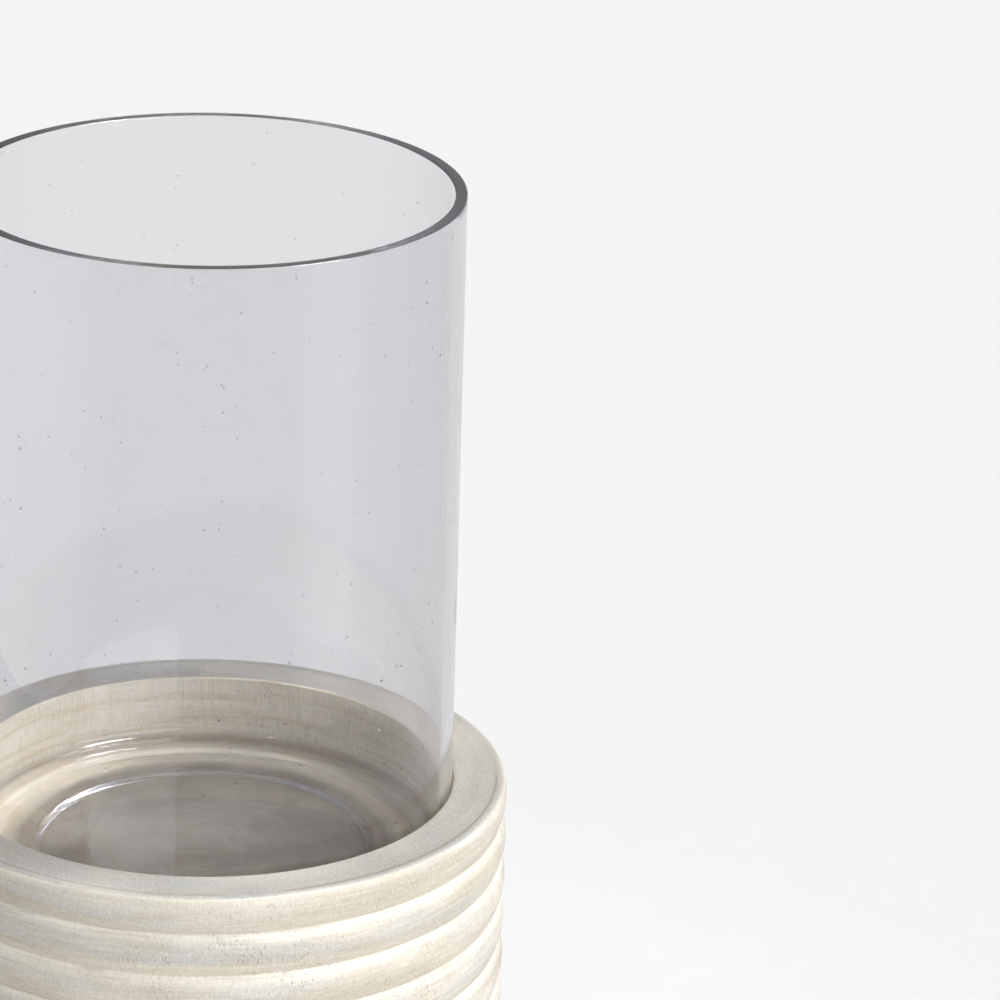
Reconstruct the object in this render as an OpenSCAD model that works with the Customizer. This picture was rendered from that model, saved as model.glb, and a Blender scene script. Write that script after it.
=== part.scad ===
// Hurricane candle lantern: a glass cylinder with a closed bottom that drops into a well
// in the top of a turned, beaded wooden base, which stands on felt feet.
// Millimetres, +Z up. The origin is on the table, under the axis that everything turns about.

/* [Wooden base] */
// Diameter over the crests of the beads
base_d = 171; // [160:0.5:190]
// Number of beads turned on the side, the lip at the top included
bead_count = 9; // [4:1:14]
// Height of one bead, from groove to groove
bead_pitch = 12.4; // [10:0.1:14]
// Height of the lip, from the top face down to the first groove
lip_h = 10.8; // [8:0.1:12]
// Depth of the groove between two beads
groove_depth = 1.6; // [0.8:0.1:2.2]
// Depth of the well that the glass stands in
well_depth = 24; // [18:0.5:32]
// Gap all round between the glass and the wall of the well
well_gap = 0.4; // [0.4:0.1:2]
// Rounding of the top face's outer edge
lip_round = 1.2; // [0.6:0.1:1.6]
// Rounding of the well's mouth
mouth_round = 0.8; // [0.4:0.1:1.2]
// Chamfer on the bottom edge of the base
foot_chamfer = 1.5; // [0.5:0.1:2.5]

/* [Glass cylinder] */
// Outside diameter
glass_d = 140; // [130:0.5:145]
// Height that stands above the top face of the base
glass_above = 172; // [120:1:220]
// Thickness of the wall
glass_wall = 3.3; // [2.5:0.1:4.5]
// Thickness of the bottom in the middle
glass_floor = 4.4; // [3:0.1:6]
// Radius of the flat part of the bottom, inside
floor_flat_r = 49; // [40:0.5:54]
// Radius of the gentle rise from the flat to the corner, inside
heel_rise_r = 60; // [45:1:80]
// Radius of the corner between the rise and the wall, inside
heel_corner_r = 3.5; // [2:0.1:5]
// Radius of the corner between the bottom and the wall, outside
heel_outer_r = 9; // [4:0.5:12]
// Height of the hollow under the bottom, inside its standing ring
punt_h = 1; // [0.5:0.1:1.5]
// Rounding of both edges of the polished rim
rim_round = 0.5; // [0.2:0.1:0.9]

/* [Felt feet] */
// Diameter of one foot
foot_d = 22; // [15:0.5:28]
// Thickness of one foot
foot_h = 2; // [1.5:0.5:4]
// Distance from the axis to the middle of each foot
foot_ring_r = 64; // [50:1:68]

/* [Hidden] */
foot_count = 4;
$fn = 128;

base_r = base_d / 2;
base_h = lip_h + (bead_count - 1) * bead_pitch;
base_top = foot_h + base_h;

// Radius of the arc of a bead whose crest stands groove_depth above its grooves
bead_r = (pow(bead_pitch / 2, 2) + pow(groove_depth, 2)) / (2 * groove_depth);
// Height of the crest of the lip
lip_crest_z = base_top - lip_h + bead_pitch / 2;

well_r = glass_d / 2 + well_gap;
well_floor_z = base_top - well_depth;

glass_r = glass_d / 2;
glass_inner_r = glass_r - glass_wall;
glass_h = well_depth + glass_above;
floor_z = well_floor_z + glass_floor;
rim_z = well_floor_z + glass_h;
// The standing ring's inner edge, and the width of the slope that leads into the hollow under the glass
punt_r = floor_flat_r;
punt_slope = 3 * punt_h;

// Inside the heel, the corner's arc lies inside the rise's arc and touches it and the wall
rise_centre = [floor_flat_r, floor_z + heel_rise_r];
corner_x = glass_inner_r - heel_corner_r;
corner_centre = [
    corner_x,
    rise_centre[1] - sqrt(pow(heel_rise_r - heel_corner_r, 2) - pow(corner_x - floor_flat_r, 2))
];
rise_to_corner = (corner_centre - rise_centre) / (heel_rise_r - heel_corner_r);
heel_touch = rise_centre + heel_rise_r * rise_to_corner;

foot_turn = 360 / foot_count;
foot_start = 45;

// How far a cut reaches past the face that it opens, and how far two joined shapes overlap
past = 1;
lap = 0.01;

// What a square outer corner at the origin loses when it is rounded, for a corner that faces +X and +Y
module corner_waste(r) {
    difference() {
        translate([-r, -r]) square(2 * r);
        translate([-r, -r]) circle(r);
        translate([-2 * r, -2 * r]) square([r, 4 * r]);
        translate([-2 * r, -2 * r]) square([4 * r, r]);
    }
}

module base_profile() {
    difference() {
        intersection() {
            union() {
                translate([0, foot_h]) square([base_r - bead_r, base_h]);
                for (i = [0 : bead_count - 1])
                    translate([base_r - bead_r, lip_crest_z - i * bead_pitch]) circle(bead_r);
            }
            translate([0, foot_h]) square([base_r, base_h]);
        }
        // the well
        translate([0, well_floor_z]) square([well_r, well_depth + past]);
        translate([well_r, base_top]) mirror([1, 0]) corner_waste(mouth_round);
        // the two outer edges
        translate([top_edge_r(), base_top]) corner_waste(lip_round);
        translate([top_edge_r(), foot_h]) mirror([0, 1]) polygon([
            [past, past], [past, -foot_chamfer], [0, -foot_chamfer], [-foot_chamfer, 0], [-foot_chamfer, past]
        ]);
    }
}

// Radius where the lip's arc meets the top face
function top_edge_r() =
    base_r - bead_r + sqrt(pow(bead_r, 2) - pow(base_top - lip_crest_z, 2));

module base() {
    color("antiquewhite") rotate_extrude() base_profile();
}

// The room inside the glass, half of its section
module cavity_profile() {
    translate([0, floor_z]) square([floor_flat_r, glass_h]);
    intersection() {
        translate(rise_centre) circle(heel_rise_r);
        translate([floor_flat_r - past, floor_z - past])
            square([heel_touch[0] - floor_flat_r + past, heel_rise_r / 2]);
    }
    intersection() {
        translate(corner_centre) circle(heel_corner_r);
        translate([heel_touch[0] - lap, floor_z]) square([heel_corner_r * 2, corner_centre[1] - floor_z]);
    }
    translate([0, corner_centre[1] - lap]) square([glass_inner_r, glass_h]);
}

module glass_profile() {
    difference() {
        translate([0, well_floor_z]) square([glass_r, glass_h]);
        cavity_profile();
        translate([glass_r, rim_z]) corner_waste(rim_round);
        translate([glass_inner_r, rim_z]) mirror([1, 0]) corner_waste(rim_round);
        translate([glass_r, well_floor_z]) mirror([0, 1]) corner_waste(heel_outer_r);
        // the hollow under the bottom
        polygon([
            [0, well_floor_z - past], [punt_r, well_floor_z - past], [punt_r, well_floor_z],
            [punt_r - punt_slope, well_floor_z + punt_h], [0, well_floor_z + punt_h]
        ]);
    }
}

module glass_cylinder() {
    color("lavender", 0.35) rotate_extrude() glass_profile();
}

module felt_foot(i) {
    color("gray") rotate([0, 0, foot_start + i * foot_turn]) translate([foot_ring_r, 0, 0])
        cylinder(d = foot_d, h = foot_h);
}

base();
glass_cylinder();
for (i = [0 : foot_count - 1])
    felt_foot(i);
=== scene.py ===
import math

import bpy
import numpy as np
from mathutils import Matrix, Vector


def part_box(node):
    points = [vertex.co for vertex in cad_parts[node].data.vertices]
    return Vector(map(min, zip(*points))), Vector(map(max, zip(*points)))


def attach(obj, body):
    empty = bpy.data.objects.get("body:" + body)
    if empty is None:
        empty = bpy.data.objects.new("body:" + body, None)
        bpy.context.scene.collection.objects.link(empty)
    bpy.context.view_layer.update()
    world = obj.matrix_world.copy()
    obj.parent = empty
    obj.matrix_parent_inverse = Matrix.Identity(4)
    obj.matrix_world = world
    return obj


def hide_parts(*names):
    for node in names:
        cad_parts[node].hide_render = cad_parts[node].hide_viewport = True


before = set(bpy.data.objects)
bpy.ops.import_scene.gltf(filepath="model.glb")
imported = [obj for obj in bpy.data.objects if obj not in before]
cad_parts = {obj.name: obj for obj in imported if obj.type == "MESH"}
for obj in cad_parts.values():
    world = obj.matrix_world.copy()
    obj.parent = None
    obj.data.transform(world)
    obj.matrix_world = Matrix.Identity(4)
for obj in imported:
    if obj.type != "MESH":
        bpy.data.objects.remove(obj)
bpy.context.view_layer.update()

MM = 0.001

# ---------------------------------------------------------------- sizes, read from the frame
base_low, base_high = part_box("base")
glass_low, glass_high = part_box("glass_cylinder")
BASE_R = base_high.x
BASE_TOP = base_high.z
BASE_BOTTOM = base_low.z
WELL_FLOOR = glass_low.z
GLASS_R = glass_high.x
RIM_Z = glass_high.z

# The same driving dimensions as the design's
LIP_H = 10.8 * MM
BEAD_COUNT = 9
GROOVE_DEPTH = 1.6 * MM
WELL_GAP = 0.4 * MM
GLASS_WALL = 3.3 * MM
GLASS_FLOOR = 4.4 * MM
FLOOR_FLAT_R = 49 * MM
HEEL_RISE_R = 60 * MM
HEEL_CORNER_R = 3.5 * MM
HEEL_OUTER_R = 9 * MM
PUNT_H = 1.0 * MM
PUNT_R = 49 * MM
RIM_ROUND = 0.5 * MM
# These two differ a little from the design's, for their mirror images: the width of the slope into the
# hollow under the glass, and the rounding of the rim's outer edge
PUNT_STEP = 5 * MM
RIM_OUTER_ROUND = 0.3 * MM

BEAD_PITCH = (BASE_TOP - BASE_BOTTOM - LIP_H) / (BEAD_COUNT - 1)
WELL_R = GLASS_R + WELL_GAP
# The sliver of air between the glass's standing ring and the wood
AIR = 0.12 * MM

# How many steps the base and the glass take round their axis
ROUND_STEPS = 320


# ---------------------------------------------------------------- camera
CAMERA_DISTANCE = 1.4317
CAMERA_ELEVATION = math.radians(17.544)
CAMERA_YAW = math.radians(3.407)
CAMERA_TILT = math.radians(20.868)
CAMERA_ROLL = math.radians(1.696)
CAMERA_LENS = 190.1


def make_camera():
    """Stands in front of the lantern, above its rim, and looks down past its right-hand side."""
    camera = bpy.data.objects.new("camera", bpy.data.cameras.new("camera"))
    bpy.context.scene.collection.objects.link(camera)
    camera.data.lens = CAMERA_LENS
    camera.data.sensor_width = 36
    camera.data.clip_end = 50
    rim = Vector((0, 0, RIM_Z))
    place = rim + CAMERA_DISTANCE * Vector((0, -math.cos(CAMERA_ELEVATION), math.sin(CAMERA_ELEVATION)))
    turn = (
        Matrix.Rotation(-CAMERA_YAW, 4, "Z")
        @ Matrix.Rotation(math.pi / 2 - CAMERA_TILT, 4, "X")
        @ Matrix.Rotation(CAMERA_ROLL, 4, "Z")
    )
    camera.matrix_world = Matrix.Translation(place) @ turn
    bpy.context.scene.camera = camera


make_camera()


# ---------------------------------------------------------------- mesh helpers
def new_object(name, vertices, faces, material, smooth=True):
    mesh = bpy.data.meshes.new(name)
    mesh.from_pydata([tuple(v) for v in vertices], [], faces)
    mesh.validate()
    mesh.materials.append(material)
    mesh.polygons.foreach_set("use_smooth", [smooth] * len(mesh.polygons))
    piece = bpy.data.objects.new(name, mesh)
    bpy.context.scene.collection.objects.link(piece)
    return piece


def arc(cx, cz, r, start, end, steps):
    """Points (r, z) on an arc about (cx, cz), from start to end in degrees, both ends included."""
    angles = np.radians(np.linspace(start, end, steps + 1))
    return [(cx + r * math.cos(a), cz + r * math.sin(a)) for a in angles]


def line(p, q, steps):
    """Points (r, z) on a straight line from p to q, both ends included."""
    return [(p[0] + (q[0] - p[0]) * t, p[1] + (q[1] - p[1]) * t) for t in np.linspace(0, 1, steps + 1)]


def joined(*runs):
    """The runs of points one after the other, without the points that two runs share."""
    out = []
    for run in runs:
        for p in run:
            if not out or math.dist(p, out[-1]) > 1e-7:
                out.append(p)
    return out


def smooth(t):
    """Rises from 0 to 1 as t does, level at both ends."""
    return t * t * (3 - 2 * t)


def revolve(profile, segments):
    """Vertices and faces of the solid that an (r, z) outline makes when it turns about +Z. The outline
    starts and ends on the axis, and the solid lies on its left."""
    rings = np.array(profile[1:-1])
    angles = np.arange(segments) * 2 * math.pi / segments
    r, a = np.meshgrid(rings[:, 0], angles, indexing="ij")
    z = np.repeat(rings[:, 1][:, None], segments, axis=1)
    points = np.stack([r * np.cos(a), r * np.sin(a), z], axis=-1).reshape(-1, 3)
    first, last = len(points), len(points) + 1
    points = np.vstack([points, [0, 0, profile[0][1]], [0, 0, profile[-1][1]]])
    faces = []
    n = segments
    for i in range(len(rings) - 1):
        for k in range(n):
            m = (k + 1) % n
            faces.append((i * n + k, i * n + m, (i + 1) * n + m, (i + 1) * n + k))
    top = (len(rings) - 1) * n
    for k in range(n):
        m = (k + 1) % n
        faces.append((first, m, k))
        faces.append((last, top + k, top + m))
    return points, faces


# ---------------------------------------------------------------- shader helpers
def new_material(name):
    material = bpy.data.materials.new(name)
    material.use_nodes = True
    tree = material.node_tree
    return material, tree, tree.nodes["Principled BSDF"]


class Nodes:
    """Short calls for the nodes that the materials use."""

    def __init__(self, tree):
        self.tree = tree

    def add(self, kind, inputs=(), **settings):
        node = self.tree.nodes.new(kind)
        for key, value in settings.items():
            setattr(node, key, value)
        for key, value in dict(inputs).items():
            self.plug(value, node.inputs[key])
        return node

    def plug(self, value, socket):
        if isinstance(value, bpy.types.NodeSocket):
            self.tree.links.new(value, socket)
        else:
            socket.default_value = value

    def math(self, operation, a, b=0.0, c=0.0, clamp=False):
        node = self.add("ShaderNodeMath", {0: a, 1: b, 2: c}, operation=operation, use_clamp=clamp)
        return node.outputs[0]

    def combine(self, x, y, z):
        return self.add("ShaderNodeCombineXYZ", {0: x, 1: y, 2: z}).outputs[0]

    def noise(self, vector, scale, detail=3.0, roughness=0.5, distortion=0.0):
        inputs = {
            "Vector": vector, "Scale": scale, "Detail": detail,
            "Roughness": roughness, "Distortion": distortion,
        }
        return self.add("ShaderNodeTexNoise", inputs).outputs["Fac"]

    def ramp(self, value, low, high, to_low=0.0, to_high=1.0):
        """value between low and high, spread smoothly over to_low to to_high."""
        inputs = {"Value": value, "From Min": low, "From Max": high, "To Min": to_low, "To Max": to_high}
        return self.add("ShaderNodeMapRange", inputs, interpolation_type="SMOOTHSTEP").outputs["Result"]

    def mix(self, factor, a, b):
        node = self.add("ShaderNodeMix", data_type="RGBA", clamp_factor=True)
        self.plug(factor, node.inputs[0])
        self.plug(a, node.inputs[6])
        self.plug(b, node.inputs[7])
        return node.outputs[2]

    def attribute(self, name):
        return self.add("ShaderNodeAttribute", attribute_name=name).outputs["Fac"]

    def bump(self, height, distance):
        inputs = {"Height": height, "Distance": distance, "Strength": 1.0}
        return self.add("ShaderNodeBump", inputs).outputs["Normal"]


def linear(red, green, blue):
    """A colour given as it looks on a screen, 0 to 255, as the shader's linear RGBA."""
    def channel(c):
        c = c / 255
        return c / 12.92 if c <= 0.04045 else ((c + 0.055) / 1.055) ** 2.4
    return (channel(red), channel(green), channel(blue), 1.0)


# ---------------------------------------------------------------- materials
def whitewashed_wood():
    """Turned wood under a brushed limewash. The strokes go round with the lathe, the pores up and down."""
    material, tree, shader = new_material("whitewashed_wood")
    n = Nodes(tree)
    where = n.add("ShaderNodeTexCoord").outputs["Object"]
    split = n.add("ShaderNodeSeparateXYZ", {0: where}).outputs
    x, y, z = split[0], split[1], split[2]
    r = n.math("SQRT", n.math("ADD", n.math("MULTIPLY", x, x), n.math("MULTIPLY", y, y)))
    safe_r = n.math("MAXIMUM", r, 4 * MM)
    # a point that goes round the axis slowly and up the outline fast, for everything that the lathe drew out
    along = n.math("ADD", r, z)
    cos_a, sin_a = n.math("DIVIDE", x, safe_r), n.math("DIVIDE", y, safe_r)

    def drawn_out(round_scale, along_scale):
        return n.combine(
            n.math("MULTIPLY", cos_a, round_scale),
            n.math("MULTIPLY", sin_a, round_scale),
            n.math("MULTIPLY", along, along_scale),
        )

    def fibres(across, down):
        return n.combine(
            n.math("MULTIPLY", x, across), n.math("MULTIPLY", y, across), n.math("MULTIPLY", z, down)
        )

    streaks = n.noise(drawn_out(1.3, 380), 1.0, 4.0, 0.6)
    fine_streaks = n.noise(drawn_out(4.0, 1700), 1.0, 3.0, 0.6)
    clouds = n.noise(drawn_out(1.1, 85), 1.0, 4.0, 0.62, 0.3)
    cool = n.noise(drawn_out(1.7, 120), 1.0, 3.0, 0.6, 0.3)
    blotches = n.noise(where, 60, 4.0, 0.65)
    grain = n.noise(fibres(1300, 260), 1.0, 3.0, 0.7)
    pores = n.noise(fibres(2600, 800), 1.0, 2.0, 0.5)
    speckle = n.noise(fibres(2100, 900), 1.0, 2.0, 0.6)
    strokes = n.noise(fibres(1500, 90), 1.0, 3.0, 0.6)
    patches = n.noise(where, 28, 3.0, 0.5)
    pore_mask = n.math("MULTIPLY", n.ramp(pores, 0.58, 0.68), n.ramp(blotches, 0.48, 0.62, 0.15, 1.0))
    bead_underside_shade = n.attribute("bead_underside_shade")
    bead_top_highlight = n.attribute("bead_top_highlight")
    top_face = n.attribute("top_face")
    inside = n.attribute("inside")
    floor = n.attribute("floor")
    corner = n.attribute("corner")
    line = n.attribute("turned_line")

    white = linear(230, 226, 214)
    cream = linear(197, 190, 178)
    shade_ochre = linear(197, 189, 170)
    grey = linear(176, 179, 179)
    taupe = linear(166, 157, 141)
    umber = linear(120, 98, 72)
    slate = linear(147, 149, 149)

    outside = n.mix(n.ramp(clouds, 0.42, 0.66, 0.0, 0.8), cream, taupe)
    outside = n.mix(n.ramp(cool, 0.45, 0.66, 0.0, 0.65), outside, grey)
    outside = n.mix(n.ramp(streaks, 0.5, 0.78, 0.0, 0.5), outside, white)
    # painted highlight: the upper part of each bead, which faces the light from above, is painted whiter
    outside = n.mix(n.math("MULTIPLY", bead_top_highlight, 0.75), outside, white)
    # painted shade: the lower part of each bead, which faces down, is tinted darker ochre
    outside = n.mix(n.math("MULTIPLY", bead_underside_shade, 0.55), outside, shade_ochre)
    worn_top = n.math("MULTIPLY", top_face, n.ramp(patches, 0.35, 0.65, 0.45, 0.85))
    outside = n.mix(worn_top, outside, slate)
    outside = n.mix(n.ramp(fine_streaks, 0.45, 0.75, 0.0, 0.6), outside, taupe)

    # inside the well the wash is thin and warm, put on with strokes that ran up and down; it is painted
    # lighter than the wash outside, as painted light for the light that the glass keeps out of the well
    wash = linear(245, 240, 221)
    honey = linear(221, 203, 163)
    straw = linear(176, 154, 116)
    well_floor_brown = linear(66, 51, 20)
    within = n.mix(n.ramp(streaks, 0.4, 0.75), wash, honey)
    within = n.mix(n.ramp(strokes, 0.45, 0.75, 0.0, 0.5), within, honey)
    within = n.mix(n.ramp(fine_streaks, 0.55, 0.8, 0.0, 0.35), within, straw)
    # the floor of the well painted dark brown, darker out from its middle as painted shade
    within = n.mix(n.math("MULTIPLY", floor, n.ramp(patches, 0.35, 0.65, 0.8, 1.0)), within, well_floor_brown)
    # painted shade: the wood darkens towards the foot of the well's wall, under the glass's heel
    within = n.mix(n.math("MULTIPLY", corner, 0.6), within, umber)
    # painted shade: a dark ring on the wood just under the glass's standing ring
    within = n.mix(n.math("MULTIPLY", n.attribute("standing_ring_shade"), 0.6), within, umber)

    colour = n.mix(inside, outside, within)
    # the dark floor of the well shows neither the grain nor flecks of the wash
    off_dark_floor = n.ramp(floor, 0.0, 0.8, 1.0, 0.0)
    grain_mask = n.math("MULTIPLY", n.ramp(grain, 0.42, 0.7), n.ramp(top_face, 0.0, 1.0, 0.28, 0.4))
    speckle_mask = n.math("MULTIPLY", n.ramp(speckle, 0.45, 0.7), n.ramp(top_face, 0.0, 1.0, 0.25, 0.38))
    colour = n.mix(n.math("MULTIPLY", grain_mask, off_dark_floor), colour, taupe)
    colour = n.mix(n.math("MULTIPLY", speckle_mask, off_dark_floor), colour, white)
    colour = n.mix(n.math("MULTIPLY", line, n.ramp(clouds, 0.36, 0.56, 0.0, 0.7)), colour, umber)
    colour = n.mix(n.math("MULTIPLY", pore_mask, 0.5), colour, umber)
    n.plug(colour, shader.inputs["Base Color"])
    roughness = n.math("MULTIPLY_ADD", inside, 0.35, n.ramp(clouds, 0.3, 0.7, 0.42, 0.6))
    n.plug(roughness, shader.inputs["Roughness"])
    relief = n.math("ADD", n.math("MULTIPLY", fine_streaks, 0.5), n.math("MULTIPLY", grain, 0.5))
    relief = n.math("SUBTRACT", relief, n.math("MULTIPLY", pore_mask, 0.8))
    n.plug(n.bump(relief, 0.12 * MM), shader.inputs["Normal"])
    return material


# The largest seed in the glass, and how many points per metre seeds are scattered from
SEED_R = 0.55 * MM
SEED_SCALE = 230


def clear_glass():
    """Soda-lime glass with small seeds in it. Its faces give most of the tint, and its depth the rest."""
    material, tree, shader = new_material("clear_glass")
    shader.inputs["Roughness"].default_value = 0.0
    shader.inputs["IOR"].default_value = 1.5
    shader.inputs["Transmission Weight"].default_value = 1.0
    n = Nodes(tree)
    where = n.add("ShaderNodeTexCoord").outputs["Object"]
    # drawn glass is faintly wavy, and has a seed or a speck every centimetre or two
    waves = n.noise(where, 22, 1.0, 0.4)
    cell = n.add("ShaderNodeTexVoronoi", {"Vector": where, "Scale": SEED_SCALE}).outputs
    chance = n.add("ShaderNodeSeparateXYZ", {0: cell["Color"]}).outputs[0]
    size = n.ramp(chance, 0.2, 1.0, 0.001, SEED_R * SEED_SCALE)
    seeds = n.math("SUBTRACT", 1.0, n.math("DIVIDE", cell["Distance"], size), clamp=True)
    clear, smoky = (0.84, 0.84, 0.857, 1), (0.5, 0.5, 0.52, 1)
    n.plug(n.mix(n.ramp(seeds, 0.0, 0.5), clear, smoky), shader.inputs["Base Color"])
    relief = n.math("ADD", n.math("MULTIPLY", waves, 0.25 * MM), n.math("MULTIPLY", seeds, 0.1 * MM))
    n.plug(n.bump(relief, 1.0), shader.inputs["Normal"])
    tint = tree.nodes.new("ShaderNodeVolumeAbsorption")
    tint.inputs["Color"].default_value = (0.45, 0.45, 0.53, 1)
    tint.inputs["Density"].default_value = 4.5
    tree.links.new(tint.outputs["Volume"], tree.nodes["Material Output"].inputs["Volume"])
    return material


def felt():
    material, tree, shader = new_material("felt")
    n = Nodes(tree)
    where = n.add("ShaderNodeTexCoord").outputs["Object"]
    fibres = n.noise(where, 900, 5.0, 0.7, 1.2)
    colour = n.mix(n.ramp(fibres, 0.3, 0.7), linear(118, 114, 106), linear(152, 148, 140))
    n.plug(colour, shader.inputs["Base Color"])
    shader.inputs["Roughness"].default_value = 0.95
    shader.inputs["Sheen Weight"].default_value = 0.4
    n.plug(n.bump(fibres, 0.3 * MM), shader.inputs["Normal"])
    return material


def floor_paper():
    material, tree, shader = new_material("floor_paper")
    shader.inputs["Base Color"].default_value = (0.72, 0.72, 0.725, 1)
    shader.inputs["Roughness"].default_value = 0.9
    shader.inputs["Specular IOR Level"].default_value = 0.1
    return material


WOOD = whitewashed_wood()
GLASS = clear_glass()
FELT = felt()


# ---------------------------------------------------------------- the wooden base
BEAD_STEPS = 22
LIP_ROUND = 1.2 * MM
MOUTH_ROUND = 0.8 * MM
FOOT_CHAMFER = 1.5 * MM
# The fine line that the lathe cut near the top face's outer edge
LINE_R = 82.4 * MM
# Where a dark ring is painted on the wood under the glass's standing ring, as painted shade, and the band of
# finer rings on both sides of it
CONTACT_R = PUNT_R + 1 * MM
CONTACT_BAND = 3 * MM
# The rounding at the foot of the well's wall, which the design leaves sharp
WELL_CORNER_R = 1 * MM
# How far below the top face the top bead gives way to the lip's rounding, as a part of LIP_ROUND
LIP_MEETS_BEAD = 0.8
BEAD_R = ((BEAD_PITCH / 2) ** 2 + GROOVE_DEPTH**2) / (2 * GROOVE_DEPTH)


def base_outline():
    """(r, z) from the middle of the underside, round the side and the top, to the middle of the well."""
    bead_x = BASE_R - BEAD_R
    half_angle = math.degrees(math.asin(BEAD_PITCH / 2 / BEAD_R))
    runs = []
    for i in reversed(range(BEAD_COUNT)):
        crest = BASE_TOP - LIP_H + BEAD_PITCH / 2 - i * BEAD_PITCH
        low, high = -half_angle, half_angle
        if i == 0:
            high = math.degrees(math.asin((BASE_TOP - LIP_ROUND * LIP_MEETS_BEAD - crest) / BEAD_R))
        runs.append(arc(bead_x, crest, BEAD_R, low, high, BEAD_STEPS))
    side = joined(*runs)
    side = [p for p in side if p[1] > BASE_BOTTOM + FOOT_CHAMFER]
    edge_r = side[-1][0]
    foot_r = BASE_R - GROOVE_DEPTH - FOOT_CHAMFER
    return joined(
        line((0, BASE_BOTTOM), (foot_r, BASE_BOTTOM), 30),
        line((foot_r, BASE_BOTTOM), (side[0][0], BASE_BOTTOM + FOOT_CHAMFER), 3),
        side,
        arc(edge_r - LIP_ROUND, BASE_TOP - LIP_ROUND, LIP_ROUND, 10, 90, 8),
        line((edge_r - LIP_ROUND, BASE_TOP), (WELL_R + MOUTH_ROUND, BASE_TOP), 32),
        arc(WELL_R + MOUTH_ROUND, BASE_TOP - MOUTH_ROUND, MOUTH_ROUND, 90, 180, 6),
        line((WELL_R, BASE_TOP - MOUTH_ROUND), (WELL_R, WELL_FLOOR + WELL_CORNER_R), 24),
        arc(WELL_R - WELL_CORNER_R, WELL_FLOOR + WELL_CORNER_R, WELL_CORNER_R, 0, -90, 4),
        line((WELL_R - WELL_CORNER_R, WELL_FLOOR), (CONTACT_R + CONTACT_BAND, WELL_FLOOR), 16),
        line((CONTACT_R + CONTACT_BAND, WELL_FLOOR), (CONTACT_R - CONTACT_BAND, WELL_FLOOR), 14),
        line((CONTACT_R - CONTACT_BAND, WELL_FLOOR), (0, WELL_FLOOR), 24),
    )


def add_attribute(piece, name, values):
    """Gives each vertex a value that the material reads by this name."""
    layer = piece.data.attributes.new(name, "FLOAT", "POINT")
    layer.data.foreach_set("value", np.asarray(values, np.float32))


def make_base():
    vertices, faces = revolve(base_outline(), ROUND_STEPS)
    piece = new_object("turned_base", vertices, faces, WOOD)
    piece.data.set_sharp_from_angle(angle=math.radians(35))
    r = np.hypot(vertices[:, 0], vertices[:, 1])
    z = vertices[:, 2]
    down = ((BASE_TOP - LIP_H - z) / BEAD_PITCH) % 1
    on_side = r > BASE_R - 2.5 * MM
    # painted shade on the lower part of each bead, which faces down away from the light
    add_attribute(piece, "bead_underside_shade", np.where(on_side, np.clip((down - 0.55) / 0.45, 0, 1) ** 1.5, 0))
    # painted highlight on the upper part of each bead, where the light from above falls
    add_attribute(piece, "bead_top_highlight", np.where(on_side, np.clip(1 - down / 0.3, 0, 1), 0))
    in_well = (r < WELL_R + 0.3 * MM) & (z > WELL_FLOOR - 1 * MM)
    add_attribute(piece, "inside", in_well.astype(float))
    # the floor of the well is painted dark brown, least of all in its middle; the darkening out from its
    # middle is painted shade
    middle_light = 0.82 + 0.18 * np.clip(r / (50 * MM), 0, 1) ** 2
    floor = np.clip((60 * MM - r) / (8 * MM), 0, 1) * middle_light
    add_attribute(piece, "floor", np.where(in_well, floor, 0))
    from_corner = np.hypot(WELL_R - r, z - WELL_FLOOR)
    # painted shade in a thin ring under the glass's standing ring
    add_attribute(piece, "standing_ring_shade", np.where(in_well, np.exp(-((r - CONTACT_R) / (0.9 * MM)) ** 2), 0))
    # painted shade, darkest where the well's wall meets its floor
    add_attribute(piece, "corner", np.where(in_well, np.clip(1 - from_corner / (7 * MM), 0, 1), 0))
    add_attribute(piece, "top_face", ((r > WELL_R) & (z > BASE_TOP - 0.3 * MM)).astype(float))
    on_top = z > BASE_TOP - 1 * MM
    add_attribute(piece, "turned_line", np.where(on_top, np.exp(-((r - LINE_R) / (0.35 * MM)) ** 2), 0))
    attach(piece, "base")
    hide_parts("base")


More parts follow.
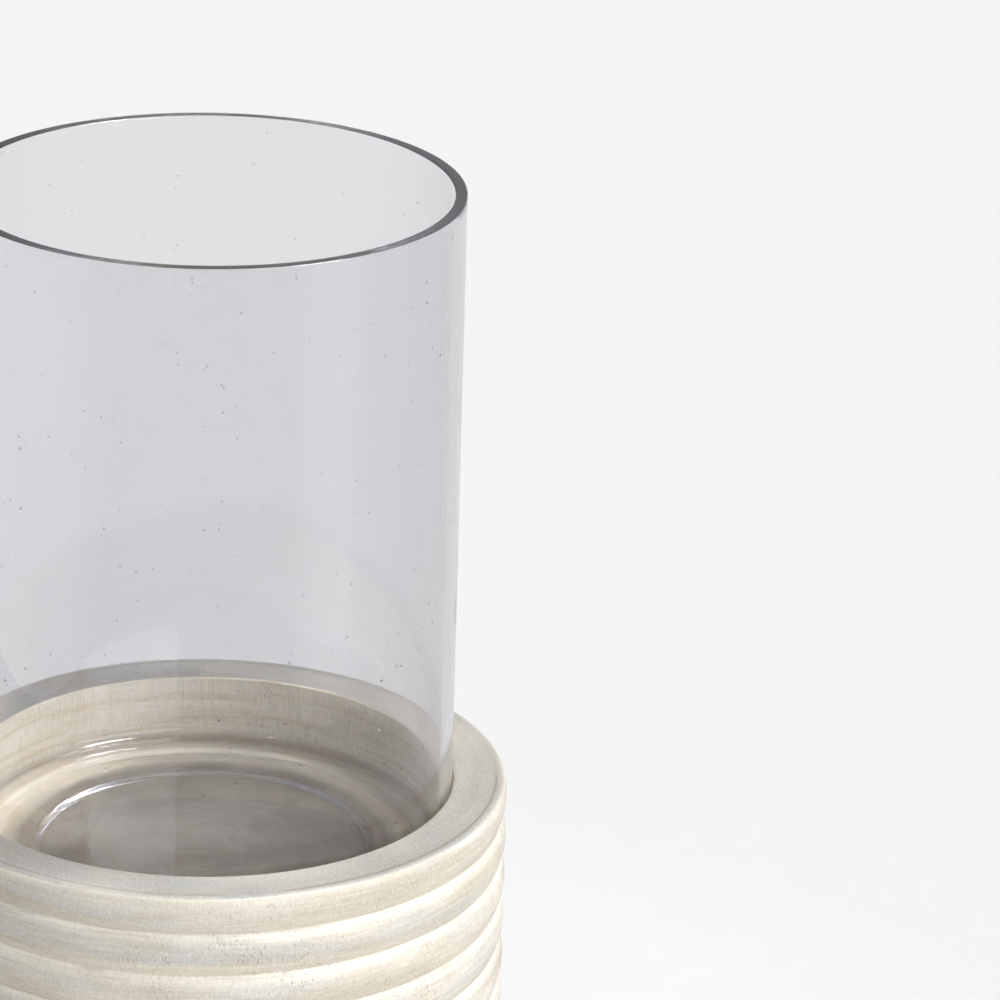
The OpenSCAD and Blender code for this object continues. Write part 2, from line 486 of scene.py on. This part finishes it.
# ---------------------------------------------------------------- the glass
def glass_outline():
    """(r, z) from the middle of the underside, up the outside, over the rim and down the inside."""
    outer, inner = GLASS_R, GLASS_R - GLASS_WALL
    floor = WELL_FLOOR + GLASS_FLOOR
    corner_x = inner - HEEL_CORNER_R
    rise_z = floor + HEEL_RISE_R
    corner_z = rise_z - math.sqrt((HEEL_RISE_R - HEEL_CORNER_R) ** 2 - (corner_x - FLOOR_FLAT_R) ** 2)
    touch = math.degrees(math.atan2(corner_z - rise_z, corner_x - FLOOR_FLAT_R))
    return joined(
        line((0, WELL_FLOOR + PUNT_H), (PUNT_R - PUNT_STEP, WELL_FLOOR + PUNT_H), 20),
        [
            (PUNT_R - PUNT_STEP * (1 - t), WELL_FLOOR + AIR + (PUNT_H - AIR) * (1 - smooth(t)))
            for t in np.linspace(0, 1, 17)
        ],
        line((PUNT_R, WELL_FLOOR + AIR), (outer - HEEL_OUTER_R, WELL_FLOOR + AIR), 6),
        arc(outer - HEEL_OUTER_R, WELL_FLOOR + AIR + HEEL_OUTER_R, HEEL_OUTER_R, -90, 0, 24),
        line((outer, WELL_FLOOR + AIR + HEEL_OUTER_R), (outer, RIM_Z - RIM_OUTER_ROUND), 60),
        arc(outer - RIM_OUTER_ROUND, RIM_Z - RIM_OUTER_ROUND, RIM_OUTER_ROUND, 0, 90, 8),
        line((outer - RIM_OUTER_ROUND, RIM_Z), (inner + RIM_ROUND, RIM_Z), 4),
        arc(inner + RIM_ROUND, RIM_Z - RIM_ROUND, RIM_ROUND, 90, 180, 12),
        line((inner, RIM_Z - RIM_ROUND), (inner, corner_z), 60),
        arc(corner_x, corner_z, HEEL_CORNER_R, 0, touch, 16),
        arc(FLOOR_FLAT_R, rise_z, HEEL_RISE_R, touch, -90, 16),
        line((FLOOR_FLAT_R, floor), (0, floor), 20),
    )


def make_glass():
    vertices, faces = revolve(glass_outline(), ROUND_STEPS)
    piece = new_object("glass_hurricane", vertices, faces, GLASS)
    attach(piece, "glass")
    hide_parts("glass_cylinder")


# ---------------------------------------------------------------- the felt feet
FEET = 4
FELT_EDGE = 0.4 * MM


def make_feet():
    for i in range(1, FEET + 1):
        node = f"felt_foot_{i}"
        low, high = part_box(node)
        middle = (low + high) / 2
        radius = (high.x - low.x) / 2
        profile = joined(
            line((0, low.z), (radius - FELT_EDGE, low.z), 12),
            arc(radius - FELT_EDGE, low.z + FELT_EDGE, FELT_EDGE, -90, 0, 4),
            line((radius, low.z + FELT_EDGE), (radius, high.z), 4),
            line((radius, high.z), (0, high.z), 12),
        )
        vertices, faces = revolve(profile, 72)
        vertices[:, 0] += middle.x
        vertices[:, 1] += middle.y
        piece = new_object(f"felt_disc_{i}", vertices, faces, FELT)
        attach(piece, "base")
        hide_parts(node)


make_base()
make_glass()
make_feet()


# ---------------------------------------------------------------- floor and light
def make_floor():
    reach = 8.0
    corners = [(-reach, -reach, 0), (reach, -reach, 0), (reach, reach, 0), (-reach, reach, 0)]
    new_object("floor", corners, [(0, 1, 2, 3)], floor_paper(), smooth=False)


def sun(name, azimuth, elevation, spread, strength):
    """A large lamp far away. Azimuth turns from the front of the lantern to its right. The angles are in
    degrees."""
    data = bpy.data.lights.new(name, "SUN")
    data.angle = math.radians(spread)
    data.energy = strength
    light = bpy.data.objects.new(name, data)
    bpy.context.scene.collection.objects.link(light)
    a, e = math.radians(azimuth), math.radians(elevation)
    towards = Vector((math.sin(a) * math.cos(e), -math.cos(a) * math.cos(e), math.sin(e)))
    light.rotation_euler = towards.to_track_quat("Z", "Y").to_euler()
    return light


# How tall the cards are, in metres, and how much of each half of them is as bright as their middle
CARD_H = 0.5
CARD_CORE = 0.3


def card(name, azimuth, distance, width, strength, behind=False):
    """An upright card with soft sides that shows only in mirror images, and with behind set also through
    the glass. Azimuth as for sun, distance and width in metres."""
    half_w = width / 2
    material, tree, shader = new_material(name)
    n = Nodes(tree)
    across = n.add("ShaderNodeSeparateXYZ", {0: n.add("ShaderNodeTexCoord").outputs["Object"]}).outputs[0]
    solid = n.ramp(n.math("ABSOLUTE", across), half_w, half_w * CARD_CORE)
    clear, glow = n.add("ShaderNodeBsdfTransparent"), n.add("ShaderNodeEmission", {"Strength": strength})
    mixed = n.add("ShaderNodeMixShader", {0: solid, 1: clear.outputs[0], 2: glow.outputs[0]})
    n.plug(mixed.outputs[0], tree.nodes["Material Output"].inputs["Surface"])
    corners = [(-half_w, 0, 0), (half_w, 0, 0), (half_w, 0, CARD_H), (-half_w, 0, CARD_H)]
    panel = new_object(name, corners, [(0, 1, 2, 3)], material, smooth=False)
    a = math.radians(azimuth)
    place = Vector((distance * math.sin(a), -distance * math.cos(a), 0))
    panel.matrix_world = Matrix.Translation(place) @ Matrix.Rotation(a, 4, "Z")
    panel.visible_camera = False
    panel.visible_diffuse = False
    panel.visible_transmission = behind
    panel.visible_shadow = False


def make_light():
    world = bpy.data.worlds.new("studio")
    bpy.context.scene.world = world
    world.use_nodes = True
    background = world.node_tree.nodes["Background"]
    background.inputs["Color"].default_value = (1, 1, 1, 1)
    background.inputs["Strength"].default_value = 0.38
    sun("overhead", 80, 60, 20, 2.35)
    sun("front", 37, 12, 50, 3.25)
    # a window that shows only in mirror images and through the glass
    window = sun("window", 76, 58, 15, 1.9)
    window.visible_diffuse = False
    card("left_card", -80, 0.42, 0.66, 1.6)
    card("right_card", 52, 0.42, 0.28, 1.5)
    card("grey_card", 135, 0.2, 0.25, 0.76, behind=True)
    scene = bpy.context.scene
    scene.view_settings.view_transform = "Standard"
    # rays that have left a matt surface stay sharp in the glass, so that the well gets all its light
    scene.cycles.blur_glossy = 0
    # the highlights at the heel of the glass are mirror images of the window, and keep their full strength
    scene.cycles.sample_clamp_indirect = 40
    # the rim shows what its wall leads up from the well, after some fifty reflections on the way
    scene.cycles.max_bounces = 96
    scene.cycles.transmission_bounces = 96
    scene.cycles.glossy_bounces = 96


make_floor()
make_light()
